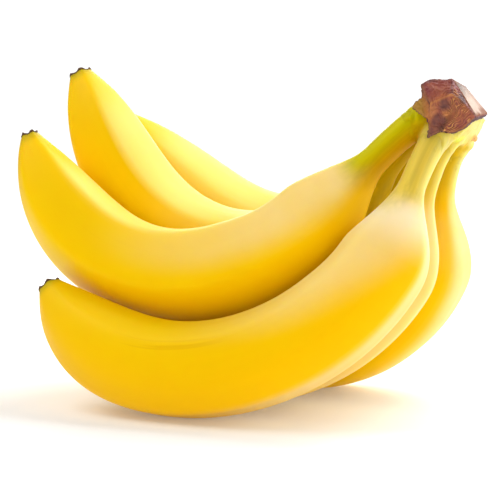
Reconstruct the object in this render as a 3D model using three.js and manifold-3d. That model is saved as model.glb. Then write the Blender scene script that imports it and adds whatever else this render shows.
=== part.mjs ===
// A bunch of six ripe bananas on one cut crown, lying on its lower row of fruit.
// Millimetres, +Z up, floor at Z = 0. The crown is at +X, the blossom ends point to -X.
import * as THREE from "three";
import { NURBSCurve } from "three/addons/curves/NURBSCurve.js";
import { ConvexGeometry } from "three/addons/geometries/ConvexGeometry.js";
import { mergeVertices } from "three/addons/utils/BufferGeometryUtils.js";
import Module from "manifold-3d";

// Driving dimensions, shared by the six fingers
const NECK_LENGTH = 23;
const SHOULDER_LENGTH = 31;
const CROWN_FLARE = 1.1; // extra neck radius where it leaves the crown
const FLARE_LENGTH = 14;
const TAPER_LENGTH = 57; // the last stretch, which narrows to the blossom end
const TAPER_POWER = 2.8; // 1 is a straight cone, more is blunter
const BELLY = 0.07; // how much fuller the middle is than the ends
const RIDGE_HEIGHT = 0.035; // five soft ridges, as a share of the radius
const STUB_LENGTH = 9; // the part of each neck that belongs to the crown
const FLOWER_LENGTH = 1.2; // room at the blossom end for the dried flower remnant
const FLOWER_OVERHANG = 0.3; // how far its rim stands out past the blunt end
const END_DOME = 0.8; // how far the blunt end bulges
const SETTLE = 0.4; // how far the lower fingers flatten where they bear on the floor
const FIT_GAP = 0.3;
const SIDES = 20;
const STATIONS = 32;

// Each finger: eight control points of its centre line from crown to blossom end,
// its radius at the belly, neck and blunt end, and the angle of its first ridge from the
// hollow side.
const FINGERS = {
  upper_front: {
    line: [[61.5, -32, 105], [54, -33.5, 102], [37, -37.5, 84], [10, -33, 56.5],
      [-28, -15.5, 44.5], [-61.5, 6.5, 56], [-76.5, 14.5, 81], [-82, 19, 97]],
    radius: 16.8,
    neck: 5.6,
    end: 2.4,
    ridge: 29,
  },
  upper_middle: {
    line: [[63, -18.5, 106], [54.5, -14, 95.5], [41.5, -8.5, 73.5], [12, 3.5, 50.5],
      [-23.5, 21, 53], [-48.5, 35, 77], [-57.5, 41, 100.5], [-65, 49.5, 118]],
    radius: 16,
    neck: 5.3,
    end: 3.6,
    ridge: 20,
  },
  upper_back: {
    line: [[67.5, -8, 107], [62.5, 2.5, 99.5], [55, 15.5, 80], [33.5, 33.5, 56],
      [3.5, 50.5, 53], [-25.5, 61, 72], [-42.5, 61.5, 90], [-51.5, 61, 101]],
    radius: 15.7,
    neck: 5.3,
    end: 3.1,
    ridge: 39,
  },
  lower_front: {
    line: [[66, -35, 101], [55, -47, 85.5], [50.5, -59, 62], [25, -57, 32.5],
      [-12, -46.5, 16], [-49.5, -27.5, 17.5], [-66.5, -13, 34], [-73, -6, 43.5]],
    radius: 17.2,
    neck: 5.1,
    end: 3.5,
    ridge: 1,
  },
  lower_middle: {
    line: [[70, -21.5, 100], [60.5, -22, 86], [59.5, -25, 58], [31, -21.5, 24.5],
      [-9.5, -3.5, 12.5], [-43.5, 20.5, 27], [-56, 33, 48.5], [-59, 34.5, 57.5]],
    radius: 17.1,
    neck: 5.7,
    end: 3.1,
    ridge: 42,
  },
  lower_back: {
    line: [[75, -8, 97.5], [67.5, -2.5, 85.5], [71, 2.5, 58.5], [53, 15.5, 23],
      [13.5, 31.5, 12.5], [-23, 45, 31], [-39.5, 51, 52.5], [-44, 52.5, 60.5]],
    radius: 17.7,
    neck: 5.9,
    end: 3.1,
    ridge: 11,
  },
};

const skin = new THREE.MeshStandardMaterial({ color: 0xf5c211, roughness: 0.45, metalness: 0 });
const stemSkin = new THREE.MeshStandardMaterial({ color: 0xd9c63c, roughness: 0.5, metalness: 0 });
const driedCrust = new THREE.MeshStandardMaterial({ color: 0x7a4428, roughness: 0.8, metalness: 0 });
const cutFlesh = new THREE.MeshStandardMaterial({ color: 0xeed2bb, roughness: 0.7, metalness: 0 });
const flowerCrust = new THREE.MeshStandardMaterial({ color: 0x3f2a1a, roughness: 0.9, metalness: 0 });

const wasm = await Module();
wasm.setup();

function toSolid(geometry) {
  const bare = geometry.clone();
  bare.deleteAttribute("normal");
  bare.deleteAttribute("uv");
  const merged = mergeVertices(bare, 1e-3);
  return new wasm.Manifold(
    new wasm.Mesh({
      numProp: 3,
      vertProperties: new Float32Array(merged.attributes.position.array),
      triVerts: new Uint32Array(merged.index.array),
    }),
  );
}

function toGeometry(solid) {
  const mesh = solid.getMesh();
  const geometry = new THREE.BufferGeometry();
  geometry.setAttribute("position", new THREE.BufferAttribute(mesh.vertProperties, 3));
  geometry.setIndex(new THREE.BufferAttribute(mesh.triVerts, 1));
  geometry.computeVertexNormals();
  return geometry;
}

// A finger's centre line, with the two directions that span its cross-section:
// "hollow" towards the inside of the bend and "flank" across it.
class FingerLine {
  constructor({ line, radius, neck, end, ridge }) {
    const points = line.map(([x, y, z]) => new THREE.Vector4(x, y, z, 1));
    const knots = [0, 0, 0, 0, 0.2, 0.4, 0.6, 0.8, 1, 1, 1, 1];
    this.curve = new NURBSCurve(3, knots, points);
    this.curve.arcLengthDivisions = 400;
    this.length = this.curve.getLength();
    this.radius = radius;
    this.neck = neck;
    this.end = end;
    this.ridge = THREE.MathUtils.degToRad(ridge);
    const start = new THREE.Vector3(...line[0]);
    const belly = new THREE.Vector3(...line[4]);
    const tip = new THREE.Vector3(...line[7]);
    this.across = belly.clone().sub(start).cross(tip.sub(belly)).normalize();
  }

  frame(s) {
    const u = THREE.MathUtils.clamp(s / this.length, 0, 1);
    const along = this.curve.getTangentAt(u).normalize();
    const hollow = this.across.clone().cross(along).normalize();
    const flank = along.clone().cross(hollow);
    const centre = this.curve.getPointAt(u).addScaledVector(along, s - u * this.length);
    return { centre, along, hollow, flank };
  }

  radiusAt(s) {
    const { smoothstep, clamp } = THREE.MathUtils;
    const shoulder = smoothstep(s, NECK_LENGTH, NECK_LENGTH + SHOULDER_LENGTH);
    const flare = CROWN_FLARE * clamp(1 - s / FLARE_LENGTH, 0, 1) ** 2;
    const middle = clamp((s - NECK_LENGTH) / (this.length - NECK_LENGTH), 0, 1);
    const full = 1 - BELLY + BELLY * Math.sin(Math.PI * middle);
    const body = (this.neck + (this.radius - this.neck) * shoulder + flare) * full;
    const taper = 1 - clamp((this.length - s) / TAPER_LENGTH, 0, 1);
    return this.end + (body - this.end) * (1 - taper ** TAPER_POWER);
  }

  ridgeAt(s, angle) {
    const { clamp } = THREE.MathUtils;
    const fade = clamp((s - 8) / 30, 0.3, 1) * clamp((this.length - s) / 30, 0.15, 1);
    return 1 + RIDGE_HEIGHT * fade * Math.cos(5 * (angle - this.ridge));
  }

  // A closed skin from s = from to s = to, grown outwards by the given amount.
  tube(from, to, stations, grow = 0) {
    const profile = [new THREE.Vector2(0, from - grow)];
    for (let i = 0; i <= stations; i++) {
      const t = i / stations;
      const s = from + (to - from) * (t - 0.07 * Math.sin(2 * Math.PI * t)); // closer at the ends
      const edge = i === 0 ? -grow : i === stations ? grow : 0;
      profile.push(new THREE.Vector2(this.radiusAt(s) + grow, s + edge));
    }
    const dome = to > this.length / 2 ? END_DOME : 0;
    profile.push(new THREE.Vector2(0, to + dome + grow));
    return this.bend(new THREE.LatheGeometry(profile, SIDES));
  }

  // Carries a lathed shape, turned about +Y, onto the centre line.
  bend(geometry) {
    const position = geometry.attributes.position;
    for (let i = 0; i < position.count; i++) {
      const radial = Math.hypot(position.getX(i), position.getZ(i));
      const angle = Math.atan2(position.getX(i), position.getZ(i));
      const s = position.getY(i);
      const { centre, hollow, flank } = this.frame(s);
      const r = radial * this.ridgeAt(s, angle);
      centre.addScaledVector(hollow, r * Math.cos(angle));
      centre.addScaledVector(flank, r * Math.sin(angle));
      position.setXYZ(i, centre.x, centre.y, centre.z);
    }
    return geometry;
  }
}

// The dried flower remnant: a thin dark crust over the blunt end, with an uneven rim.
function flowerRemnant(finger) {
  const end = finger.length - FLOWER_LENGTH;
  const base = end + FIT_GAP;
  const width = finger.radiusAt(end);
  const profile = [
    [0, END_DOME],
    [width, 0],
    [width + FLOWER_OVERHANG, 0.4],
    [width * 0.7, 1],
    [0, END_DOME + 0.8],
  ].map(([r, h]) => new THREE.Vector2(r, h));
  const geometry = new THREE.LatheGeometry(profile, 12);
  const position = geometry.attributes.position;
  for (let i = 0; i < position.count; i++) {
    const angle = Math.atan2(position.getX(i), position.getZ(i));
    const outer = position.getY(i) > END_DOME ? 1 : 0;
    const lift = outer * (0.35 * Math.sin(2 * angle) + 0.2 * Math.sin(5 * angle + 1));
    position.setY(i, position.getY(i) + base + lift);
  }
  return finger.bend(geometry);
}

function chunk(points) {
  return toSolid(new ConvexGeometry(points.map(([x, y, z]) => new THREE.Vector3(x, y, z))));
}

// The fresh cut on the crown's right: a slanting face, given by its four corners.
const CUT_CORNERS = [[70, -37.5, 119.1], [78.3, -41, 106], [86.3, 0, 104.7], [77.9, 1, 114.8]];
const CUT_INWARD = new THREE.Vector3(-0.83, 0.11, -0.55);
const CUT_THICKNESS = 1.2;

// The corners moved in by a depth, and spread from their middle by a share of its distance.
function cutCorners(depth, spread = 0) {
  const corners = CUT_CORNERS.map((corner) => new THREE.Vector3(...corner));
  const middle = corners.reduce((sum, c) => sum.addScaledVector(c, 0.25), new THREE.Vector3());
  return corners.map((corner) => {
    const outward = corner.clone().sub(middle).multiplyScalar(spread);
    return corner.addScaledVector(CUT_INWARD, depth).add(outward).toArray();
  });
}

// The yellow-green cushion that all six necks grow out of, with the root of each neck.
function crownCushion(fingers) {
  let solid = chunk([
    [61, -37, 102.5], [63.5, -37, 97.5], [71, -38, 98], [77, -38, 104], [75, -37, 107.5],
    [62, -36, 109.5], [63, -1, 105.5], [66, 0, 99.5], [74, -2, 91.5], [79, -4, 92.5],
    [82, -2, 97.1], [85.4, -1, 102.5], [83, -1, 105], [70, -1, 109.5],
  ]);
  for (const finger of fingers) {
    solid = solid.add(toSolid(finger.tube(0, STUB_LENGTH - FIT_GAP / 2, 4)));
  }
  for (const finger of fingers) {
    const neck = finger.tube(STUB_LENGTH + FIT_GAP / 2, STUB_LENGTH + 14, 4, FIT_GAP);
    solid = solid.subtract(toSolid(neck));
  }
  return solid;
}

// The brown dried cap: a faceted block, with a tag over the front upper neck and a
// pointed flap that hangs over the front lower neck.
function crownCap(cushion) {
  const block = chunk([
    [61, -42, 104], [62.5, -43, 101.5], [69.5, -42.5, 100.2], [73.5, -42, 101.8],
    [61.8, -43, 110.7], [69.5, -43, 114.1], [73, -42.5, 111.5],
    [62.2, -36.5, 118.4], [59.6, -38, 116.3], [59.3, -40, 113],
    [66, 1, 110.5], [71, 1, 114.5], [72, 0, 103.5], ...cutCorners(CUT_THICKNESS + FIT_GAP),
  ]);
  const tag = chunk([
    [55.6, -40.5, 109.2], [57, -41, 107.9], [61.5, -42, 104.5], [56.8, -40, 111.4],
    [60, -39.5, 112.9], [57, -38.5, 109.5], [64, -38, 111.5], [64, -38, 105.5],
  ]);
  const flap = chunk([
    [60.8, -44.5, 98.7], [61.2, -43.5, 104.1], [66.5, -43.5, 101.5], [63, -42, 107.5],
    [61.4, -42.5, 99.1], [64, -40, 106.5], [65.5, -41, 102.5],
  ]);
  const beyondCut = chunk([...cutCorners(CUT_THICKNESS + FIT_GAP, 0.6), ...cutCorners(-12, 0.6)]);
  return block.subtract(beyondCut).add(tag).add(flap).subtract(cushion);
}

function largest(solid) {
  const parts = solid.decompose();
  return parts.reduce((a, b) => (b.volume() > a.volume() ? b : a));
}

function named(name, geometry, material) {
  const mesh = new THREE.Mesh(geometry.translate(0, 0, -SETTLE), material);
  mesh.name = name;
  return mesh;
}

const bunch = new THREE.Group();
const floor = toSolid(new THREE.BoxGeometry(400, 400, 20).translate(0, 0, SETTLE - 10));
const fingers = Object.fromEntries(
  Object.entries(FINGERS).map(([name, spec]) => [name, new FingerLine(spec)]),
);

// Ripe fingers press against each other: each one makes room for those before it.
const clearances = [];
for (const [name, finger] of Object.entries(fingers)) {
  const start = STUB_LENGTH + FIT_GAP / 2;
  const end = finger.length - FLOWER_LENGTH;
  let solid = toSolid(finger.tube(start, end, STATIONS));
  for (const neighbour of clearances) {
    solid = solid.subtract(neighbour);
  }
  clearances.push(toSolid(finger.tube(start, end, STATIONS, FIT_GAP)));
  solid = largest(solid.subtract(floor));
  bunch.add(named(`banana_${name}`, toGeometry(solid), skin));
  bunch.add(named(`flower_end_${name}`, flowerRemnant(finger), flowerCrust));
}

const cushion = crownCushion(Object.values(fingers));
bunch.add(named("crown_cushion", toGeometry(largest(cushion)), stemSkin));
const cap = largest(crownCap(cushion));
bunch.add(named("crown_dried_cap", toGeometry(cap), driedCrust));
const cut = chunk([...cutCorners(0), ...cutCorners(CUT_THICKNESS)]);
bunch.add(named("crown_cut_face", toGeometry(cut), cutFlesh));

export default bunch;
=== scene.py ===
import math

import bmesh
import bpy
from mathutils import Matrix, Vector, noise


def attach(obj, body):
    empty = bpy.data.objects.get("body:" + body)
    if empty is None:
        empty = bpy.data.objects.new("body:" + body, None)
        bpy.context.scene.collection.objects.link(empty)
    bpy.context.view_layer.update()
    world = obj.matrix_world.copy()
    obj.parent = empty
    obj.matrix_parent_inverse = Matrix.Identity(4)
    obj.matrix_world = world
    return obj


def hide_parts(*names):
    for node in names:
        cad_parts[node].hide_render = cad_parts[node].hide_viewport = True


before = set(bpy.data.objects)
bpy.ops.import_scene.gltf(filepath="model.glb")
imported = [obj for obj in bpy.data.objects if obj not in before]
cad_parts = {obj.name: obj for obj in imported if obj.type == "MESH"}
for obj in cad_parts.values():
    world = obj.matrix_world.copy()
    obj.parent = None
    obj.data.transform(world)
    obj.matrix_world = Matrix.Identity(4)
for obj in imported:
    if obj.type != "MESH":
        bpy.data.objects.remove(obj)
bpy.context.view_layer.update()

# ---- The six fingers -------------------------------------------------------------------
# Ripe dessert bananas of one hand. Each is a curved berry in a smooth leathery peel with
# five soft ridges. It grew out of a thin neck on the shared crown, and it narrows to a
# small blunt end where the flower was. Neighbours are pressed close but don't grow together.

# Millimetres, unless another unit is named.
MM = 0.001  # in metres
NECK_LENGTH = 23
SHOULDER_LENGTH = 31
CROWN_FLARE = 1.1
FLARE_LENGTH = 14
TAPER_LENGTH = 57
TAPER_POWER = 2.8
BELLY = 0.07  # how much fuller the middle is, as a share of the radius
SETTLE = 0.4  # how far the fruit's own weight presses it into the floor

# line: the centre line's control points, from crown to blossom end
# radius, neck, end: half the thickness at the belly, in the neck and at the blossom end
# ridge: the first ridge's angle from the hollow of the bend, in degrees
# crest: how far the ridges stand out, as a share of the radius
# neck_top, neck_under, green_to: the neck's two colours, and how far down they reach
# orange: how far the outer side of the bend is painted a deeper orange as painted shade, from 0
# to 1
# The rest has defaults in the class below, where it is the same on most fingers.
FINGERS = {
    "upper_front": dict(
        line=[(61.5, -32, 105), (54, -33.5, 102), (37, -37.5, 84), (10, -33, 56.5),
              (-28, -15.5, 44.5), (-61.5, 6.5, 56), (-76.5, 14.5, 81), (-82, 19, 97)],
        radius=16.8, neck=5.6, end=2.4, ridge=29, crest=0.043,
        neck_top="#C6BC00", neck_under="#CC9C00", green_to=30, orange=0.05,
        inner_highlight=(0.32, 0.62, 0.14), shoulder_dip=(0.6, 1.6, 60)),
    "upper_middle": dict(
        line=[(63, -18.5, 106), (54.5, -14, 95.5), (41.5, -8.5, 73.5), (12, 3.5, 50.5),
              (-23.5, 21, 53), (-48.5, 35, 77), (-57.5, 41, 100.5), (-65, 49.5, 118)],
        radius=16, neck=5.3, end=3.6, ridge=20, crest=0.048,
        neck_top="#D0C414", neck_under="#CAB000", green_to=50, orange=0.1,
        inner_highlight=(0.42, 0.55, 0.12)),
    "upper_back": dict(
        line=[(67.5, -8, 107), (62.5, 2.5, 99.5), (55, 15.5, 80), (33.5, 33.5, 56),
              (3.5, 50.5, 53), (-25.5, 61, 72), (-42.5, 61.5, 90), (-51.5, 61, 101)],
        radius=15.7, neck=5.3, end=3.1, ridge=39, crest=0.045,
        neck_top="#D0C414", neck_under="#CAB000", green_to=50, orange=0.05,
        inner_highlight=(0.5, -0.45, 0.25)),
    "lower_front": dict(
        line=[(66, -35, 101), (55, -47, 85.5), (50.5, -59, 62), (25, -57, 32.5),
              (-12, -46.5, 16), (-49.5, -27.5, 17.5), (-66.5, -13, 34), (-73, -6, 43.5)],
        radius=17.2, neck=5.1, end=3.5, ridge=1, crest=0.034,
        neck_top="#E4C850", neck_under="#CDA814", green_to=32, orange=0.3,
        bloom_climb=0.009, outer_highlight=(0.7, 38, 150), cream_highlight=0.75, swing=22,
        scuffs=0.4, shoulder_dip=(0, 1.2, 53)),
    "lower_middle": dict(
        line=[(70, -21.5, 100), (60.5, -22, 86), (59.5, -25, 58), (31, -21.5, 24.5),
              (-9.5, -3.5, 12.5), (-43.5, 20.5, 27), (-56, 33, 48.5), (-59, 34.5, 57.5)],
        radius=17.1, neck=5.7, end=3.1, ridge=42, crest=0.04,
        neck_top="#E6CC54", neck_under="#D8B41C", green_to=24, orange=0.1,
        bloom_to=70, bloom_climb=0.009, outer_highlight=(0.7, 60, 140), cream_highlight=0.3),
    "lower_back": dict(
        line=[(75, -8, 97.5), (67.5, -2.5, 85.5), (71, 2.5, 58.5), (53, 15.5, 23),
              (13.5, 31.5, 12.5), (-23, 45, 31), (-39.5, 51, 52.5), (-44, 52.5, 60.5)],
        radius=17.7, neck=5.9, end=3.1, ridge=11, crest=0.04,
        neck_top="#E6D058", neck_under="#D8B41C", green_to=24, orange=0.15,
        bloom_to=30, bloom_climb=0.009, outer_highlight=(0.75, 64, 112), cream_highlight=0.1,
        swing=16),
}


def clamp(value, low=0.0, high=1.0):
    return max(low, min(high, value))


def smooth_step(value, low, high):
    t = clamp((value - low) / (high - low))
    return t * t * (3 - 2 * t)


def linear(hex_colour):
    """An sRGB hex colour as the linear colour that nodes take."""
    parts = [int(hex_colour[i:i + 2], 16) / 255 for i in (1, 3, 5)]
    return tuple(c / 12.92 if c <= 0.04045 else ((c + 0.055) / 1.055) ** 2.4
                 for c in parts) + (1.0,)


RIDGES = 5
# a painted highlight on the neck's side that faces right
PAINTED_NECK_HIGHLIGHT = Vector(linear("#EADC78"))
SWUNG_RIDGE = math.radians(-165)
SWING_WIDTH = math.radians(60)
DIP_LENGTH, RISE_PLACE, RISE_LENGTH = 29, 34, 12
# how much of a plain wave each multiple adds, so that the ridges come out narrow
RIDGE_SHARPNESS = (1, 1), (2, 0.2), (3, 0.09), (4, 0.04)


class Finger:
    """A finger's centre line, radius, ridges and looks.

    bloom_to, bloom_climb: how far down the pale shoulder goes, and how fast its low edge
    climbs; the pale is partly chalky bloom and partly a painted highlight from above
    inner_highlight: the share of a painted highlight in the hollow of the bend, and where it
    starts and how it fades in
    outer_highlight: the share of a painted highlight on the outer side, its half width in
    degrees, and how far it goes; its share also lightens the neck's right side the same way
    cream_highlight, swing, scuffs: how strong the cream painted highlight at the shoulder's
    start is, how far one ridge has swung outwards in degrees, and how scuffed the belly is
    shoulder_dip: how far the hollow side first rises, then dips, and the middle of the dip
    """

    def __init__(self, line, radius, neck, end, ridge, crest, neck_top, neck_under, green_to,
                 orange, bloom_to=150, bloom_climb=0.004, inner_highlight=(0, 0, 1),
                 outer_highlight=(0, 0, 1), cream_highlight=0, swing=0, scuffs=0.08,
                 shoulder_dip=(0, 1.6, 60)):
        curve = bpy.data.curves.new("centre_line", "CURVE")
        curve.dimensions = "3D"
        spline = curve.splines.new("NURBS")
        spline.points.add(len(line) - 1)
        for point, place in zip(spline.points, line):
            point.co = (*place, 1)
        spline.order_u = 4
        spline.use_endpoint_u = True
        spline.resolution_u = 40  # points for each span between control points
        holder = bpy.data.objects.new("centre_line", curve)
        self.points = [v.co.copy() for v in holder.to_mesh().vertices]
        holder.to_mesh_clear()
        bpy.data.objects.remove(holder)
        bpy.data.curves.remove(curve)
        self.reach = [0.0]
        for a, b in zip(self.points, self.points[1:]):
            self.reach.append(self.reach[-1] + (b - a).length)
        self.length = self.reach[-1]
        self.radius, self.neck, self.end = radius, neck, end
        self.ridge = math.radians(ridge)
        self.crest, self.orange, self.scuffs = crest, orange, scuffs
        self.green_to, self.bloom_to, self.bloom_climb = green_to, bloom_to, bloom_climb
        self.inner_highlight, self.outer_highlight = inner_highlight, outer_highlight
        self.cream_highlight, self.swing, self.shoulder_dip = cream_highlight, math.radians(swing), shoulder_dip
        self.neck_top, self.neck_under = Vector(linear(neck_top)), Vector(linear(neck_under))
        start, belly, tip = Vector(line[0]), Vector(line[4]), Vector(line[7])
        self.across = (belly - start).cross(tip - belly).normalized()

    def centre(self, s):
        """The centre line's point at s, the distance from the crown along it."""
        inside = clamp(s, 0, self.length - 1e-6)
        low, high = 0, len(self.reach) - 1
        while high - low > 1:
            middle = (low + high) // 2
            low, high = (middle, high) if self.reach[middle] <= inside else (low, middle)
        share = (inside - self.reach[low]) / (self.reach[high] - self.reach[low])
        along = (self.points[high] - self.points[low]).normalized()
        return self.points[low].lerp(self.points[high], share) + along * (s - inside)

    def place(self, s):
        """The section's own axes at s: hollow side, flank and along."""
        along = (self.centre(s + 0.5) - self.centre(s - 0.5)).normalized()
        hollow = self.across.cross(along).normalized()
        flank = along.cross(hollow)
        turn = Matrix((hollow, flank, along)).transposed().to_4x4()
        return Matrix.Translation(self.centre(s)) @ turn

    def radius_at(self, s):
        """Half the thickness at s, before the ridges."""
        shoulder = smooth_step(s, NECK_LENGTH, NECK_LENGTH + SHOULDER_LENGTH)
        flare = CROWN_FLARE * clamp(1 - s / FLARE_LENGTH) ** 2
        middle = clamp((s - NECK_LENGTH) / (self.length - NECK_LENGTH))
        full = 1 - BELLY + BELLY * math.sin(math.pi * middle)
        body = (self.neck + (self.radius - self.neck) * shoulder + flare) * full
        taper = 1 - clamp((self.length - s) / TAPER_LENGTH)
        return self.end + (body - self.end) * (1 - taper ** TAPER_POWER)

    def ridge_at(self, s, angle):
        """The ridges' share of the radius. They soften in the neck and at the tip."""
        fade = clamp((s - 8) / 30, 0.35, 1) * clamp((self.length - s) / 12, 0.5, 1)
        beside = abs((angle - SWUNG_RIDGE + math.pi) % (2 * math.pi) - math.pi)
        turn = angle - self.ridge + self.swing * (1 - smooth_step(beside, 0, SWING_WIDTH))
        crests = sum(share * math.cos(RIDGES * wave * turn) for wave, share in RIDGE_SHARPNESS)
        return 0.99 + fade * self.crest * crests

    def dip(self, s, angle):
        """How much lower the hollow side lies than the round section."""
        rise, depth, middle = self.shoulder_dip
        sunk = depth * (1 - smooth_step(abs(s - middle), 0, DIP_LENGTH))
        raised = rise * (1 - smooth_step(abs(s - RISE_PLACE), 0, RISE_LENGTH))
        return (sunk - raised) * clamp(math.cos(angle))

    def neck_tint(self, outward):
        """The neck's colour facing a direction, lighter as a painted highlight facing right."""
        tint = self.neck_under.lerp(self.neck_top, smooth_step(outward.z, -0.3, 0.7))
        return tint.lerp(PAINTED_NECK_HIGHLIGHT, self.outer_highlight[0] * smooth_step(outward.x, 0.2, 0.8))


def ring(bm, finger, s, sides, grow=0.0, lift=0.0):
    """One cross-section of a finger, with its place on the straightened fruit."""
    peel = bm.verts.layers.float_vector["peel"]
    outward = bm.verts.layers.float_vector["outward"]
    on_a_crest = Matrix.Rotation(finger.ridge, 4, "Z")
    verts = bmesh.ops.create_circle(bm, segments=sides, radius=1, matrix=on_a_crest)["verts"]
    place = finger.place(s)
    for v in verts:
        angle = math.atan2(v.co.y, v.co.x)
        v[outward] = place.to_3x3() @ v.co
        r = finger.radius_at(s) * finger.ridge_at(s, angle) - finger.dip(s, angle) + grow
        v.co = Vector((math.cos(angle) * r, math.sin(angle) * r,
                       lift * math.cos(RIDGES * (angle - finger.ridge))))
        v[peel] = Vector((v.co.x, v.co.y, s)) * MM
    bmesh.ops.transform(bm, matrix=place, verts=verts)
    return verts


def edges_of(verts):
    """The edges between these points, always in the same order."""
    inside = set(verts)
    return list(dict.fromkeys(e for v in verts for e in v.link_edges
                              if e.other_vert(v) in inside))


def bridge(bm, rings):
    """Joins each ring to the next one with a band of faces."""
    for a, b in zip(rings, rings[1:]):
        bmesh.ops.bridge_loops(bm, edges=edges_of(a) + edges_of(b))


def close(bm, ends):
    """Fills each ring with a face."""
    for end in ends:
        bmesh.ops.edgeloop_fill(bm, edges=edges_of(end))


def tube(bm, finger, stations, sides, grow=None):
    """Bridges a finger's cross-sections into a skin and returns its two end rings."""
    rings = [ring(bm, finger, s, sides, grow(s) if grow else 0) for s in stations]
    bridge(bm, rings)
    return rings[0], rings[-1]


def new_material(name):
    material = bpy.data.materials.new(name)
    material.use_nodes = True
    material.node_tree.nodes.clear()
    return material, material.node_tree


def add(tree, kind, inputs=None, **settings):
    """Adds a node with its settings, and gives each input its value or its link."""
    made = tree.nodes.new(kind)
    for key, value in settings.items():
        setattr(made, key, value)
    for key, value in (inputs or {}).items():
        if isinstance(value, bpy.types.NodeSocket):
            tree.links.new(value, made.inputs[key])
        else:
            made.inputs[key].default_value = value
    return made


def finish_piece(bm, name, node, material):
    """Makes the bmesh (in mm) an object that stands for its CAD node."""
    bmesh.ops.scale(bm, vec=(MM, MM, MM), verts=bm.verts)
    bmesh.ops.recalc_face_normals(bm, faces=bm.faces)
    mesh = bpy.data.meshes.new(name)
    bm.to_mesh(mesh)
    bm.free()
    mesh.shade_smooth()
    piece = bpy.data.objects.new(name, mesh)
    bpy.context.scene.collection.objects.link(piece)
    piece.data.materials.append(material)
    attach(piece, "root")
    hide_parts(node)
    return piece


# Ripe banana peel: a thin waxy cuticle over yellow flesh, smooth as satin. The colour is
# even, with faint long fibres and scuffs, a chalky bloom on the shoulder that is partly a
# painted highlight, more painted highlight in cream, lemon and pale peach, painted shade in
# a deeper orange under the bend, green left in the neck and a dull end where the flower was.
peel, tree = new_material("ripe_waxy_banana_peel")
place = add(tree, "ShaderNodeTexCoord").outputs["Object"]
grain = add(tree, "ShaderNodeAttribute", attribute_name="peel").outputs["Vector"]
neck_share = add(tree, "ShaderNodeAttribute", attribute_name="neck").outputs["Fac"]
neck_tint = add(tree, "ShaderNodeAttribute", attribute_name="neck_tint").outputs["Color"]
warmth = add(tree, "ShaderNodeAttribute", attribute_name="orange").outputs["Fac"]
bloom_and_highlight_share = add(tree, "ShaderNodeAttribute", attribute_name="bloom_and_highlight").outputs["Fac"]
cream_highlight_share = add(tree, "ShaderNodeAttribute", attribute_name="cream_highlight").outputs["Fac"]
lemon_highlight_share = add(tree, "ShaderNodeAttribute", attribute_name="lemon_highlight").outputs["Fac"]
dullness = add(tree, "ShaderNodeAttribute", attribute_name="blunt_end").outputs["Fac"]
scuffing = add(tree, "ShaderNodeAttribute", attribute_name="scuff").outputs["Fac"]
# fibres run the length of the fruit, 1.5 to 3 mm apart
long_fibres = add(tree, "ShaderNodeVectorMath", {0: grain, 1: (1, 1, 0.04)},
                  operation="MULTIPLY")
fibres = add(tree, "ShaderNodeTexNoise",
             {"Vector": long_fibres.outputs[0], "Scale": 500, "Detail": 3}).outputs["Fac"]
clouds = add(tree, "ShaderNodeTexNoise",
             {"Vector": place, "Scale": 45, "Detail": 2}).outputs["Fac"]
tone = add(tree, "ShaderNodeMix", {"Factor": clouds, "A": linear("#EDBC00"),
                                   "B": linear("#F3CC00")}, data_type="RGBA")
streaked = add(tree, "ShaderNodeMix", {"Factor": fibres, "A": tone.outputs["Result"],
                                       "B": linear("#F1C500")}, data_type="RGBA")
# painted shade: a deeper orange on the outer side of the bend
orange_shaded = add(tree, "ShaderNodeMix", {"Factor": warmth, "A": streaked.outputs["Result"],
                                   "B": linear("#F8AC00")}, data_type="RGBA")
# scuffs are long thin lines where the fruit rubbed its neighbours, 1 to 2 mm apart
drawn_out = add(tree, "ShaderNodeVectorMath", {0: grain, 1: (1, 1, 0.02)},
                operation="MULTIPLY")
rubs = add(tree, "ShaderNodeTexNoise",
           {"Vector": drawn_out.outputs[0], "Scale": 650, "Detail": 1}).outputs["Fac"]
rubbed = add(tree, "ShaderNodeMapRange", {"Value": rubs, "From Min": 0.54, "From Max": 0.66,
                                          "To Max": scuffing})
scuffed = add(tree, "ShaderNodeMix", {"Factor": rubbed.outputs["Result"],
                                      "A": orange_shaded.outputs["Result"],
                                      "B": linear("#DCA600")}, data_type="RGBA")
patchy = add(tree, "ShaderNodeMapRange", {"Value": clouds, "From Min": 0.35, "From Max": 0.65,
                                          "To Min": 0.75, "To Max": 1.0})
# the pale shoulder, partly chalky bloom and partly painted highlight, is patchy
patchy_bloom_and_highlight = add(tree, "ShaderNodeMath", {0: bloom_and_highlight_share, 1: patchy.outputs["Result"]},
                  operation="MULTIPLY").outputs["Value"]
bloomed_and_highlit = add(tree, "ShaderNodeMix", {"Factor": patchy_bloom_and_highlight, "A": scuffed.outputs["Result"],
                                     "B": linear("#F4D894")}, data_type="RGBA")
# painted highlight in cream at the start of the shoulder
cream_highlit = add(tree, "ShaderNodeMix", {"Factor": cream_highlight_share, "A": bloomed_and_highlit.outputs["Result"],
                                      "B": linear("#F8E8C4")}, data_type="RGBA")
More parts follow.
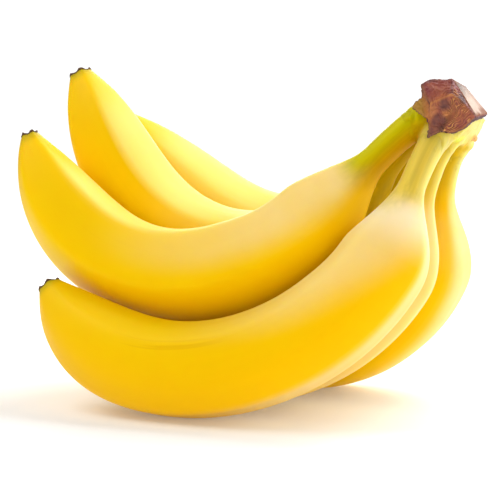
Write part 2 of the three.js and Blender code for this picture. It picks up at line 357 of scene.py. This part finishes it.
# painted highlight in lemon on the hollow side of the bend
lemon_highlit = add(tree, "ShaderNodeMix", {"Factor": lemon_highlight_share, "A": cream_highlit.outputs["Result"],
                                     "B": linear("#F2EC78")}, data_type="RGBA")
neck = add(tree, "ShaderNodeMix", {"Factor": neck_share, "A": lemon_highlit.outputs["Result"],
                                   "B": neck_tint}, data_type="RGBA")
lines = add(tree, "ShaderNodeMapRange", {"Value": fibres, "From Min": 0.35, "From Max": 0.65,
                                         "To Min": 0.86, "To Max": 1.04})
lined = add(tree, "ShaderNodeMix", {"Factor": neck_share, "A": neck.outputs["Result"],
                                    "B": lines.outputs["Result"]},
            data_type="RGBA", blend_type="MULTIPLY")
dull = add(tree, "ShaderNodeMix", {"Factor": dullness, "A": lined.outputs["Result"],
                                   "B": linear("#A8960C")}, data_type="RGBA")
# wider, softer creases run along it too, some 7 mm apart
stretched = add(tree, "ShaderNodeVectorMath", {0: grain, 1: (1, 1, 0.06)},
                operation="MULTIPLY")
creases = add(tree, "ShaderNodeTexNoise",
              {"Vector": stretched.outputs[0], "Scale": 140, "Detail": 1}).outputs["Fac"]
waves = add(tree, "ShaderNodeBump", {"Height": creases, "Strength": 0.25, "Distance": 0.001})
relief = add(tree, "ShaderNodeBump", {"Height": fibres, "Strength": 0.12, "Distance": 0.0003,
                                      "Normal": waves.outputs["Normal"]})
sheen = add(tree, "ShaderNodeMapRange", {"Value": clouds, "To Min": 0.42, "To Max": 0.54})
# light goes up to 6 mm into the waxy skin and comes out golden
WAXY_SKIN = {"IOR": 1.32, "Specular Tint": linear("#FFD24A"), "Subsurface Weight": 0.5,
             "Subsurface Radius": (0.006, 0.0045, 0.0005), "Subsurface Scale": 1.0}
shader = add(tree, "ShaderNodeBsdfPrincipled", {
    "Base Color": dull.outputs["Result"], "Roughness": sheen.outputs["Result"],
    "Normal": relief.outputs["Normal"], **WAXY_SKIN})
add(tree, "ShaderNodeOutputMaterial", {"Surface": shader.outputs["BSDF"]})

SIDES = 60
STATIONS = 80
CROWDING = 0.06  # how much closer the cross-sections stand at both ends
FLOWER_LENGTH = 1.2
RIDGE_END = 0.35  # how high each ridge's end stands up at the tip
BACK_LIMIT = 74.1  # how far back the bunch reaches
OUTER_SIDE = 153  # degrees round the section, where a pale band of painted highlight lies
RUBBED_SIDE = -82  # degrees too, on the side where fruits rub in the crate
# where the shoulder's bloom and painted highlight, the cream painted highlight and the
# scuffs set in along the finger, and where they go
BLOOM_START, BLOOM_END = (14, 30), 25
CREAM_HIGHLIGHT_START, CREAM_HIGHLIGHT_END = (26, 33), (36, 52)
SCUFF_START, SCUFF_END = (105, 130), (145, 172)
fingers = {name: Finger(**spec) for name, spec in FINGERS.items()}


def new_skin():
    """A bmesh that keeps, for each point, its place on the fruit and the way it faces."""
    bm = bmesh.new()
    bm.verts.layers.float_vector.new("peel")
    bm.verts.layers.float_vector.new("outward")
    return bm


def degrees_off(angle, middle):
    """How far apart two directions round a section are."""
    return abs((angle - middle + 180) % 360 - 180)


for name, finger in fingers.items():
    bm = new_skin()
    body_end = finger.length - FLOWER_LENGTH
    # the cross-sections stand closer together in the neck and towards the tip
    stations = [2 + (body_end - 2.5) * (t / STATIONS
                                        - CROWDING * math.sin(2 * math.pi * t / STATIONS))
                for t in range(STATIONS + 1)]
    base, last = tube(bm, finger, stations, SIDES)
    # the blunt end, with a small bump where each ridge runs out
    rim = ring(bm, finger, body_end, SIDES, lift=RIDGE_END)
    inner = ring(bm, finger, body_end + 0.45, SIDES, grow=-finger.end * 0.45)
    bridge(bm, [last, rim, inner])
    close(bm, [base, inner])
    bmesh.ops.translate(bm, vec=(0, 0, -SETTLE), verts=bm.verts)
    neck = bm.verts.layers.float.new("neck")
    tint = bm.verts.layers.float_color.new("neck_tint")
    orange = bm.verts.layers.float.new("orange")
    bloom_and_highlight = bm.verts.layers.float.new("bloom_and_highlight")
    cream_highlight = bm.verts.layers.float.new("cream_highlight")
    lemon_highlight = bm.verts.layers.float.new("lemon_highlight")
    blunt = bm.verts.layers.float.new("blunt_end")
    scuff = bm.verts.layers.float.new("scuff")
    coordinates = bm.verts.layers.float_vector["peel"]
    facing = bm.verts.layers.float_vector["outward"]
    for v in bm.verts:
        v.co.z = max(v.co.z, 0)  # it flattens where it bears on the floor
        v.co.y = min(v.co.y, BACK_LIMIT)
        s = v[coordinates].z / MM
        hollow = v[coordinates].xy.normalized().x
        patch = noise.noise(v.co * 0.12) * 3
        up = v[facing].z
        # the neck's colour ends in a wavy line, a little further along on the upper side
        v[neck] = 1 - smooth_step(s + patch - 3 * up, finger.green_to - 6, finger.green_to + 8)
        v[tint] = finger.neck_tint(v[facing])
        # painted shade: the outer side of the bend is painted a deeper orange
        v[orange] = finger.orange * clamp(0.25 - 0.75 * hollow)
        # the pale shoulder thins out along the upper side; it is partly the skin's own chalky
        # bloom and partly a painted highlight from above, kept to the sides that face up
        low_side = -0.3 + finger.bloom_climb * max(s - 40, 0)
        shoulder = smooth_step(s, *BLOOM_START) * smooth_step(up, low_side, low_side + 0.6)
        shoulder *= 1 - smooth_step(s, BLOOM_END, finger.bloom_to)
        # painted highlight: the hollow side of the bend is paler where it faces the light
        share, start, width = finger.inner_highlight
        inner_side = share * smooth_step(hollow, start, start + width)
        inner_side *= 1 - smooth_step(s, finger.length - 32, finger.length - 8)
        # painted highlight: a pale band down one side, where the rim catches the light
        share, width, reach = finger.outer_highlight
        around = math.degrees(math.atan2(v[coordinates].y, v[coordinates].x))
        outer_side = share * (1 - smooth_step(degrees_off(around, OUTER_SIDE),
                                              width - 12, width + 8))
        outer_side *= smooth_step(s, *BLOOM_START) * (1 - smooth_step(s, reach - 60, reach))
        v[bloom_and_highlight] = max(shoulder, inner_side, outer_side)
        # painted highlight: a pale cream rim where the shoulder starts
        white = smooth_step(s, *CREAM_HIGHLIGHT_START) * (1 - smooth_step(s, *CREAM_HIGHLIGHT_END))
        v[cream_highlight] = finger.cream_highlight * white * (1 - 0.6 * outer_side)
        # painted highlight: the hollow side also turns lemon
        v[lemon_highlight] = 0.7 * inner_side
        v[blunt] = smooth_step(s, finger.length - 6, finger.length - 1) * 0.75
        lines = smooth_step(s, *SCUFF_START) * (1 - smooth_step(s, *SCUFF_END))
        lines *= 1 - smooth_step(degrees_off(around, RUBBED_SIDE), 6, 20)
        v[scuff] = finger.scuffs * lines
    piece = finish_piece(bm, "ripe_" + name, "banana_" + name, peel)
    round_off = piece.modifiers.new("Round off", "SUBSURF")
    round_off.levels = round_off.render_levels = 1

# ---- The dried flower ends -------------------------------------------------------------
# What is left of each flower: a thin dark crust over the blunt end, dry and ragged at its
# rim. It stayed on the fruit when the petals withered and fell.

crust, tree = new_material("withered_flower_crust")
place = add(tree, "ShaderNodeTexCoord").outputs["Object"]
flakes = add(tree, "ShaderNodeTexNoise",
             {"Vector": place, "Scale": 900, "Detail": 4}).outputs["Fac"]
colour = add(tree, "ShaderNodeMix", {"Factor": flakes, "A": linear("#2A1A10"),
                                     "B": linear("#7A5630")}, data_type="RGBA")
relief = add(tree, "ShaderNodeBump", {"Height": flakes, "Strength": 0.6, "Distance": 0.0004})
shader = add(tree, "ShaderNodeBsdfPrincipled", {
    "Base Color": colour.outputs["Result"], "Roughness": 0.85,
    "Normal": relief.outputs["Normal"]})
add(tree, "ShaderNodeOutputMaterial", {"Surface": shader.outputs["BSDF"]})

for name, finger in fingers.items():
    bm = new_skin()
    end = finger.length - FLOWER_LENGTH
    # for each ring: how far past the peel it lies, how far it stands out, its bumps' height
    profile = [(-0.1, 0.05, RIDGE_END), (0.2, 0.25, 0.4), (0.6, 0.1, 0.5), (0.35, -0.7, 0.1),
               (0.6, -finger.end * 0.8, 0)]
    rings = [ring(bm, finger, end + past, SIDES, grow, lift) for past, grow, lift in profile]
    # the three outer rings are torn, and the two inner ones close its hollow middle
    for v in rings[0] + rings[1] + rings[2]:
        v.co += v[bm.verts.layers.float_vector["outward"]] * 0.25 * noise.noise(v.co * 1.6)
        v.co += finger.place(end).to_3x3() @ Vector((0, 0, 0.35 * noise.noise(v.co * 1.1)))
    bridge(bm, rings)
    close(bm, [rings[0], rings[-1]])
    bmesh.ops.translate(bm, vec=(0, 0, -SETTLE), verts=bm.verts)
    finish_piece(bm, "crust_" + name, "flower_end_" + name, crust)

# ---- The crown's cushion ---------------------------------------------------------------
# The living end of the hand's stalk: a firm yellow-green pad that all six necks grow out
# of without a seam, pinched into folds between them.


def lump(bm, points):
    """A rounded block spanned by a few corner points."""
    verts = [bm.verts.new(p) for p in points]
    spent = bmesh.ops.convex_hull(bm, input=verts)["geom_interior"]
    bmesh.ops.delete(bm, geom=[v for v in spent if isinstance(v, bmesh.types.BMVert)])


def fused(bm, grain_size, rounds):
    """Melts overlapping lumps into one skin and softens its edges."""
    mesh = bpy.data.meshes.new("lumps")
    bmesh.ops.recalc_face_normals(bm, faces=bm.faces)
    bm.to_mesh(mesh)
    bm.free()
    holder = bpy.data.objects.new("lumps", mesh)
    bpy.context.scene.collection.objects.link(holder)
    melt = holder.modifiers.new("Melt", "REMESH")
    melt.mode = "VOXEL"
    melt.voxel_size = grain_size
    soften = holder.modifiers.new("Soften", "SMOOTH")
    soften.factor = 0.5
    soften.iterations = rounds
    shown = holder.evaluated_get(bpy.context.evaluated_depsgraph_get())
    skin = bmesh.new()
    skin.from_mesh(shown.to_mesh())
    shown.to_mesh_clear()
    bpy.data.objects.remove(holder)
    return skin


STUMP = Vector((80.2, -12, 96.6))
STUMP_RADIUS = 1.3
ROOTS = range(0, 19, 3)  # where a neck's root has its cross-sections
ROOT_SIDES = 40

bm = new_skin()
# the pad's corners, first at its front end and then at its back end
lump(bm, [(61, -37, 102.5), (63.5, -37, 97.5), (71, -38, 98), (77, -38, 104), (75, -37, 107.5),
          (62, -36, 109.5), (63, -1, 105.5), (66, 0, 99.5), (74, -2, 91.5), (79, -4, 92.5),
          (82, -2, 97.1), (85.4, -1, 102.5), (83, -1, 105), (70, -1, 109.5)])
# a small stump where a flower's bract broke off
bmesh.ops.create_icosphere(bm, subdivisions=2, radius=STUMP_RADIUS,
                           matrix=Matrix.Translation(STUMP))
for finger in fingers.values():
    # each neck's skin rises out of the finger and melts into the pad
    close(bm, tube(bm, finger, ROOTS, ROOT_SIDES, grow=lambda s: 0.35 - 0.045 * s))
bm = fused(bm, grain_size=0.6, rounds=8)
tint = bm.verts.layers.float_color.new("neck_tint")
PALE_SIDE = Vector(linear("#DCCB78"))
STUMP_COLOUR = Vector(linear("#D9A878"))
LIME = Vector(linear("#D6DC10"))
for v in bm.verts:
    v.co += v.normal * 0.35 * noise.noise(Vector((v.co.x * 0.6, v.co.y * 0.6, v.co.z * 0.15)))
    # the pad takes the colour of the nearest necks, with their painted highlight on the right
    mixed, weight = Vector((0, 0, 0, 0)), 0
    for finger in fingers.values():
        for s in (0, 5, 10, 15):
            away = v.co - finger.centre(s)
            share = 1 / (0.5 + max(away.length - finger.neck, 0)) ** 4
            mixed += share * finger.neck_tint(away.normalized())
            weight += share
    # pale beside the cut, and lime where it folds over the front necks
    stump = 1 - smooth_step((v.co - STUMP).length, 0.8, 2.2)
    pale = smooth_step(v.co.x + 0.5 * v.co.z, 124, 130) * 0.5
    lime = 1 - smooth_step(math.hypot((v.co.x - 73.4) * 0.7, v.co.z - 97), 0.8, 2.6)
    lime *= smooth_step(-v.co.y, 24, 30)
    v[tint] = (mixed / weight).lerp(PALE_SIDE, pale).lerp(LIME, lime).lerp(STUMP_COLOUR, stump)
bmesh.ops.translate(bm, vec=(0, 0, -SETTLE), verts=bm.verts)

# Stalk skin: waxy and green-yellow, tougher than peel, with fine lines down its length.
stem, tree = new_material("green_stem_skin")
place = add(tree, "ShaderNodeTexCoord").outputs["Object"]
own_tint = add(tree, "ShaderNodeAttribute", attribute_name="neck_tint").outputs["Color"]
long_lines = add(tree, "ShaderNodeVectorMath", {0: place, 1: (1, 1, 0.15)},
                 operation="MULTIPLY")
lines = add(tree, "ShaderNodeTexNoise", {"Vector": long_lines.outputs[0], "Scale": 500,
                                         "Detail": 3}).outputs["Fac"]
shade = add(tree, "ShaderNodeMapRange", {"Value": lines, "From Min": 0.35, "From Max": 0.65,
                                         "To Min": 0.86, "To Max": 1.04})
colour = add(tree, "ShaderNodeMix", {"Factor": 1.0, "A": own_tint,
                                     "B": shade.outputs["Result"]},
             data_type="RGBA", blend_type="MULTIPLY")
relief = add(tree, "ShaderNodeBump", {"Height": lines, "Strength": 0.3, "Distance": 0.0006})
waxy = add(tree, "ShaderNodeMapRange", {"Value": lines, "To Min": 0.42, "To Max": 0.54})
shader = add(tree, "ShaderNodeBsdfPrincipled", {
    "Base Color": colour.outputs["Result"], "Roughness": waxy.outputs["Result"],
    "Normal": relief.outputs["Normal"], **WAXY_SKIN})
add(tree, "ShaderNodeOutputMaterial", {"Surface": shader.outputs["BSDF"]})
finish_piece(bm, "stem_pad", "crown_cushion", stem)

# ---- The dried cap ---------------------------------------------------------------------
# The outside of the crown, which dried and browned after the hand was cut from its stalk:
# a fibrous rind with a tag over one neck and a pointed flap over another.

# the corners of the cut, and the way into the crown from it
CUT = [(70, -37.5, 119.1), (78.3, -41, 106), (86.3, 0, 104.7), (77.9, 1, 114.8)]
INWARD = Vector((-0.83, 0.11, -0.55))

bm = bmesh.new()
# the rind itself, which ends just behind the cut, then its tag and its flap
lump(bm, [(61, -42, 104), (62.5, -43, 101.5), (69.5, -42.5, 100.2), (73.5, -42, 101.8),
          (61.8, -43, 110.7), (69.5, -43, 114.1), (73, -42.5, 111.5),
          (62.2, -36.5, 118.5), (58.8, -38.5, 117.1), (59.3, -40, 113),
          (66, 1, 110.5), (71, 1, 114.5), (72, 0, 103.5)]
     + [Vector(corner) + INWARD * 0.4 for corner in CUT])
lump(bm, [(55.6, -40.5, 109.2), (57, -41, 107.9), (61.5, -42, 104.5), (56.8, -40, 111.4),
          (60, -39.5, 112.9), (57, -38.5, 109.5), (64, -38, 111.5), (64, -38, 105.5)])
lump(bm, [(60.8, -44.5, 98.7), (61.2, -43.5, 104.1), (66.5, -43.5, 101.5), (63, -42, 107.5),
          (61.4, -42.5, 99.1), (64, -40, 106.5), (65.5, -41, 102.5)])
bm = fused(bm, grain_size=0.28, rounds=4)

# The fibres lie 1 mm apart: torn loops round the knot, straight ones beyond it.
KNOT = Vector((69.9, 110.5))  # its x and z
FLAP = Vector((65, 0, 104.5)), Vector((61.8, 0, 99.5))
FLAP_LINE = FLAP[1] - FLAP[0]
# places on the front: x, z and radius, and for the rubbed ones how much they are rubbed
DARK_PATCHES = [(66.8, 110.2, 3.0), (73.6, 112.5, 2.8)]
RUBBED_PATCHES = [(0.7, 61.8, 108, 3.6), (0.8, 67.5, 107, 1.8)]


def fibre_phase(point):
    """How far a point lies across the fibres, in mm."""
    warp = noise.noise(point * 0.2) * 2.6 + noise.noise(point * 0.55) * 1.6
    x, z = point.x - KNOT.x, point.z - KNOT.y
    loops = math.hypot(x * 0.8 - 1.5, z * 1.3)
    slanting = 0.82 * z - 0.57 * x
    beyond = smooth_step(x - 0.8 * z, 1, 4)
    return (1 - beyond) * loops + beyond * slanting + warp


def near(point, x, z, radius):
    """1 at a place on the crown's front, falling to 0 at a distance."""
    return 1 - smooth_step(math.hypot(point.x - x, point.z - z), radius * 0.35, radius)


bmesh.ops.recalc_face_normals(bm, faces=bm.faces)
bm.normal_update()
across = bm.verts.layers.float.new("across_fibres")
char_and_shade = bm.verts.layers.float.new("char_and_shade")
flush = bm.verts.layers.float.new("flush")
tag = bm.verts.layers.float.new("tag")
stringy = bm.verts.layers.float.new("stringy")
edge_highlight_and_wear = bm.verts.layers.float.new("edge_highlight_and_wear")
# an edge stands out from a smoothed copy of the rind
SMOOTHING_ROUNDS = 24
smoothed_rind = bm.copy()
for _ in range(SMOOTHING_ROUNDS):
    bmesh.ops.smooth_vert(smoothed_rind, verts=smoothed_rind.verts, factor=0.5,
                          use_axis_x=True, use_axis_y=True, use_axis_z=True)
for v, smooth in zip(bm.verts, smoothed_rind.verts):
    sharp = (v.co - smooth.co).dot(v.normal)
    flat_place = Vector((v.co.x, 0, v.co.z))
    share = clamp((flat_place - FLAP[0]).dot(FLAP_LINE) / FLAP_LINE.length_squared)
    flap = 1 - smooth_step((flat_place - FLAP[0] - FLAP_LINE * share).length, 2.0, 3.3)
    patch = max(near(v.co, *place) for place in DARK_PATCHES) * 0.85
    speckle = 0.9 + 0.35 * noise.noise(v.co * 0.8)
    edge = smooth_step(sharp, 0.02, 0.12)
    front = smooth_step(-v.normal.y, 0.7, 0.95)
    beside_cut = 0.8 * smooth_step(v.co.x + 0.6 * v.co.z, 138.5, 142)
    upper_facet = 0.4 * smooth_step(v.co.z - 0.25 * (v.co.x - 60), 111.5, 113.5)
    v[flush] = max(beside_cut, upper_facet)
    top = 0.6 * smooth_step(v.normal.z, 0.75, 0.95)
    # painted shade: faces turned downwards and the low edges are darkened
    underside = smooth_step(-v.normal.z, 0.35, 0.6)
    low_edge = edge * smooth_step(-v.normal.z, 0, 0.25)
    thin_edge = edge * (1 - front) * (1 - v[flush])
    # the char is partly the rind's own dark flap, patches, edges and top, and partly painted
    # shade
    darkest = max(flap * 0.65, patch, underside, low_edge, thin_edge, top)
    v[char_and_shade] = clamp(darkest * speckle) * 0.92
    rubbed = max(share * near(v.co, x, z, radius) for share, x, z, radius in RUBBED_PATCHES)
    # painted highlight: sharp edges facing the front are lighter; the rubbed patches are wear
    v[edge_highlight_and_wear] = max(edge * front, rubbed)
    v[tag] = 1 - smooth_step(v.co.x + 0.4 * v.co.y, 42.5, 45)
    v[char_and_shade] = max(v[char_and_shade], 0.7 * v[tag] * smooth_step(sharp, 0.12, 0.3))
    v[across] = fibre_phase(v.co)
    v[stringy] = 0.25 + 0.75 * smooth_step(v.co.x - 0.3 * (v.co.z - 112), 68.2, 70)
smoothed_rind.free()
for v in bm.verts:
    # the fibres stand out, and the whole rind is a little wavy
    v.co += v.normal * (0.15 * math.sin(v[across] * math.pi) + 0.3 * noise.noise(v.co * 0.45))
bmesh.ops.translate(bm, vec=(0, 0, -SETTLE), verts=bm.verts)

# Dried rind: brown, papery and matt, golden on the raised fibres, near black on thin edges,
# with a painted highlight on its front edges and painted shade on its undersides.
rind, tree = new_material("dried_fibrous_rind")
place = add(tree, "ShaderNodeTexCoord").outputs["Object"]
across = add(tree, "ShaderNodeAttribute", attribute_name="across_fibres").outputs["Fac"]
strings = add(tree, "ShaderNodeAttribute", attribute_name="stringy").outputs["Fac"]
lit_edges_and_rubs = add(tree, "ShaderNodeAttribute", attribute_name="edge_highlight_and_wear").outputs["Fac"]
papery = add(tree, "ShaderNodeAttribute", attribute_name="tag").outputs["Fac"]
turns = add(tree, "ShaderNodeMath", {0: across, 1: 2 * math.pi}, operation="MULTIPLY")
wave = add(tree, "ShaderNodeMath", {0: turns.outputs["Value"]}, operation="SINE")
charred_and_shaded = add(tree, "ShaderNodeAttribute", attribute_name="char_and_shade").outputs["Fac"]
flushed = add(tree, "ShaderNodeAttribute", attribute_name="flush").outputs["Fac"]
patches = add(tree, "ShaderNodeTexNoise",
              {"Vector": place, "Scale": 220, "Detail": 4}).outputs["Fac"]
spread = add(tree, "ShaderNodeMapRange", {"Value": patches, "From Min": 0.35, "From Max": 0.65})
brown = add(tree, "ShaderNodeMix", {"Factor": spread.outputs["Result"], "A": linear("#803224"),
                                    "B": linear("#AC5C34")}, data_type="RGBA")
torn = add(tree, "ShaderNodeTexNoise",
           {"Vector": place, "Scale": 350, "Detail": 2}).outputs["Fac"]
unbroken = add(tree, "ShaderNodeMapRange", {"Value": torn, "From Min": 0.42, "From Max": 0.62,
                                            "To Max": strings})
raised = add(tree, "ShaderNodeMapRange", {"Value": wave.outputs["Value"], "From Min": -0.2,
                                          "To Max": unbroken.outputs["Result"]})
deep = add(tree, "ShaderNodeMath", {0: strings, 1: 0.5}, operation="MULTIPLY")
furrow = add(tree, "ShaderNodeMapRange", {"Value": wave.outputs["Value"], "From Min": -0.3,
                                          "From Max": -1.0, "To Max": deep.outputs["Value"]})
golden = add(tree, "ShaderNodeMix", {"Factor": raised.outputs["Result"],
                                     "A": brown.outputs["Result"],
                                     "B": linear("#D89850")}, data_type="RGBA")
furrowed = add(tree, "ShaderNodeMix", {"Factor": furrow.outputs["Result"],
                                       "A": golden.outputs["Result"],
                                       "B": linear("#4E1E16")}, data_type="RGBA")
# painted highlight on the front edges, and the wear of the rubbed patches
rubbed = add(tree, "ShaderNodeMix", {"Factor": lit_edges_and_rubs, "A": furrowed.outputs["Result"],
                                     "B": linear("#B87038")}, data_type="RGBA")
olive = add(tree, "ShaderNodeMix", {"Factor": papery, "A": rubbed.outputs["Result"],
                                    "B": linear("#A67822")}, data_type="RGBA")
wine = add(tree, "ShaderNodeMix", {"Factor": flushed, "A": olive.outputs["Result"],
                                   "B": linear("#7A2430")}, data_type="RGBA")
# charred parts, and painted shade on the undersides and low edges
dark = add(tree, "ShaderNodeMix", {"Factor": charred_and_shaded, "A": wine.outputs["Result"],
                                   "B": linear("#3E1C26")}, data_type="RGBA")
grit = add(tree, "ShaderNodeTexNoise",
           {"Vector": place, "Scale": 900, "Detail": 3}).outputs["Fac"]
height = add(tree, "ShaderNodeMath", {0: raised.outputs["Result"], 1: grit}, operation="ADD")
relief = add(tree, "ShaderNodeBump", {"Height": height.outputs["Value"], "Strength": 0.8,
                                      "Distance": 0.0003})
gloss = add(tree, "ShaderNodeMapRange", {"Value": patches, "To Min": 0.45, "To Max": 0.75})
shader = add(tree, "ShaderNodeBsdfPrincipled", {
    "Base Color": dark.outputs["Result"], "Roughness": gloss.outputs["Result"],
    "Normal": relief.outputs["Normal"]})
add(tree, "ShaderNodeOutputMaterial", {"Surface": shader.outputs["BSDF"]})
finish_piece(bm, "rind_cap", "crown_dried_cap", rind)

# ---- The cut face ----------------------------------------------------------------------
# Where a knife took the hand from the stalk: pale, fibrous flesh that browns first along
# its edges and at its low end, and turns grey where it has dried at the top.

DEPTH = 1.5
bm = bmesh.new()
corners = [Vector(corner) for corner in CUT]
middle = sum(corners, Vector()) / 4
lump(bm, [corner.lerp(middle, 0.03) + INWARD * depth
          for corner in corners for depth in (0, DEPTH)])
bm = fused(bm, grain_size=0.4, rounds=3)
rim = bm.verts.layers.float.new("rim")
stale = bm.verts.layers.float.new("stale")
for v in bm.verts:
    gaps = []  # how far it is to each edge of the cut: front, low, back and top
    for a, b in zip(corners, corners[1:] + corners[:1]):
        along = (b - a).normalized()
        gaps.append(((v.co - a) - along * (v.co - a).dot(along)).length)
    to_back = gaps[2]
    wander = noise.noise(v.co * 0.25) * 1.2
    browned = 1 - smooth_step(min(gaps) + wander, 0, 2.6)
    crack = 0.7 * (1 - smooth_step(abs(to_back - 8 + wander), 0.2, 1.6))
    v[stale] = smooth_step(v.co.z + 2 * noise.noise(v.co * 0.3), 111, 116)
    back_half = 0.4 * (1 - smooth_step(to_back + 2 * wander, 13, 23)) * (1 - v[stale])
    low_end = 0.9 * (1 - smooth_step(v.co.z + 0.5 * wander, 106.5, 109))
    low_end *= 1 - smooth_step(to_back, 16, 28)
    v[rim] = clamp(max(browned, crack, back_half, low_end))
bmesh.ops.translate(bm, vec=(0, 0, -SETTLE), verts=bm.verts)

# Cut stalk: drying flesh, nearly without gloss, with pores of 1 to 2 mm.
flesh, tree = new_material("freshly_cut_stalk")
place = add(tree, "ShaderNodeTexCoord").outputs["Object"]
browned = add(tree, "ShaderNodeAttribute", attribute_name="rim").outputs["Fac"]
greyed = add(tree, "ShaderNodeAttribute", attribute_name="stale").outputs["Fac"]
pores = add(tree, "ShaderNodeTexNoise",
            {"Vector": place, "Scale": 600, "Detail": 3}).outputs["Fac"]
pale = add(tree, "ShaderNodeMix", {"Factor": pores, "A": linear("#B09080"),
                                   "B": linear("#DEC8B4")}, data_type="RGBA")
dry = add(tree, "ShaderNodeMix", {"Factor": greyed, "A": pale.outputs["Result"],
                                  "B": linear("#807068")}, data_type="RGBA")
colour = add(tree, "ShaderNodeMix", {"Factor": browned, "A": dry.outputs["Result"],
                                     "B": linear("#80441C")}, data_type="RGBA")
relief = add(tree, "ShaderNodeBump", {"Height": pores, "Strength": 0.3, "Distance": 0.0004})
dryness = add(tree, "ShaderNodeMapRange", {"Value": pores, "To Min": 0.5, "To Max": 0.8})
shader = add(tree, "ShaderNodeBsdfPrincipled", {
    "Base Color": colour.outputs["Result"], "Roughness": dryness.outputs["Result"],
    "Specular IOR Level": 0.1, "Normal": relief.outputs["Normal"]})
add(tree, "ShaderNodeOutputMaterial", {"Surface": shader.outputs["BSDF"]})
finish_piece(bm, "cut_stalk", "crown_cut_face", flesh)

# ---- The table, the light and the camera -----------------------------------------------
# A white table that runs out of sight, big soft lamps all round, and a white room.

TABLE_RADIUS = 1.2  # metres, as everything in this section is
bm = bmesh.new()
bmesh.ops.create_circle(bm, cap_ends=True, segments=64, radius=TABLE_RADIUS)
mesh = bpy.data.meshes.new("table_top")
bm.to_mesh(mesh)
bm.free()
table = bpy.data.objects.new("table_top", mesh)
bpy.context.scene.collection.objects.link(table)
laminate, tree = new_material("white_laminate")
place = add(tree, "ShaderNodeTexCoord").outputs["Object"]
distance = add(tree, "ShaderNodeVectorMath", {0: place}, operation="LENGTH").outputs["Value"]
fade = add(tree, "ShaderNodeMapRange",
           {"Value": distance, "From Min": 0.3, "From Max": 1.0, "To Min": 1, "To Max": 0},
           interpolation_type="SMOOTHSTEP")
shader = add(tree, "ShaderNodeBsdfPrincipled", {
    "Base Color": (0.88, 0.88, 0.88, 1), "Roughness": 0.5, "Specular IOR Level": 0.0,
    "Emission Color": (1, 1, 1, 1), "Emission Strength": 0.13, "Alpha": fade.outputs["Result"]})
add(tree, "ShaderNodeOutputMaterial", {"Surface": shader.outputs["BSDF"]})
table.data.materials.append(laminate)

AIM = Vector((0, -0.0215, 0.0572))
LAMP_DISTANCE, SOFTBOX = 1.2, 0.8


def soft_lamp(name, direction, power, distance=LAMP_DISTANCE, width=SOFTBOX, height=SOFTBOX):
    """A lamp in a direction from the bunch, turned towards it. Its power is in watts."""
    lamp = bpy.data.lights.new(name, "AREA")
    lamp.shape = "RECTANGLE"
    lamp.size, lamp.size_y, lamp.energy = width, height, power
    holder = bpy.data.objects.new(name, lamp)
    holder.location = AIM + Vector(direction).normalized() * distance
    holder.rotation_euler = (AIM - holder.location).to_track_quat("-Z", "Y").to_euler()
    bpy.context.scene.collection.objects.link(holder)


soft_lamp("front_panel", (0, -1, 0.15), 10.9, distance=1.5, width=2.2)
soft_lamp("top_back_softbox", (0.45, 0.45, 0.75), 11.4)
soft_lamp("back_softbox", (0.1, 0.98, 0.2), 8.5)
soft_lamp("right_softbox", (0.93, 0.13, 0.36), 6)
soft_lamp("left_softbox", (-0.6, 0, 0.8), 6.8)
soft_lamp("low_right_softbox", (0.8, 0.6, 0.15), 4.4)

# the room lights softly, and is seen as plain white
world = bpy.data.worlds.new("white_room")
world.use_nodes = True
tree = world.node_tree
tree.nodes.clear()
seen = add(tree, "ShaderNodeLightPath").outputs["Is Camera Ray"]
strength = add(tree, "ShaderNodeMapRange", {"Value": seen, "To Min": 0.28, "To Max": 1.1})
air = add(tree, "ShaderNodeBackground", {"Color": (1, 1, 1, 1),
                                         "Strength": strength.outputs["Result"]})
add(tree, "ShaderNodeOutputWorld", {"Surface": air.outputs["Background"]})
bpy.context.scene.world = world
bpy.context.scene.view_settings.view_transform = "Standard"

PITCH = math.radians(6.5)
DISTANCE = 0.850
PICTURE_WIDTH = 500 * 0.000355  # 500 pixels of 0.355 mm at the middle of the bunch
camera = bpy.data.cameras.new("camera")
camera.lens = camera.sensor_width * DISTANCE / PICTURE_WIDTH
camera.clip_end = 20
holder = bpy.data.objects.new("camera", camera)
holder.location = AIM + Vector((0, -math.cos(PITCH), math.sin(PITCH))) * DISTANCE
holder.rotation_euler = (math.pi / 2 - PITCH, 0, 0)
bpy.context.scene.collection.objects.link(holder)
bpy.context.scene.camera = holder
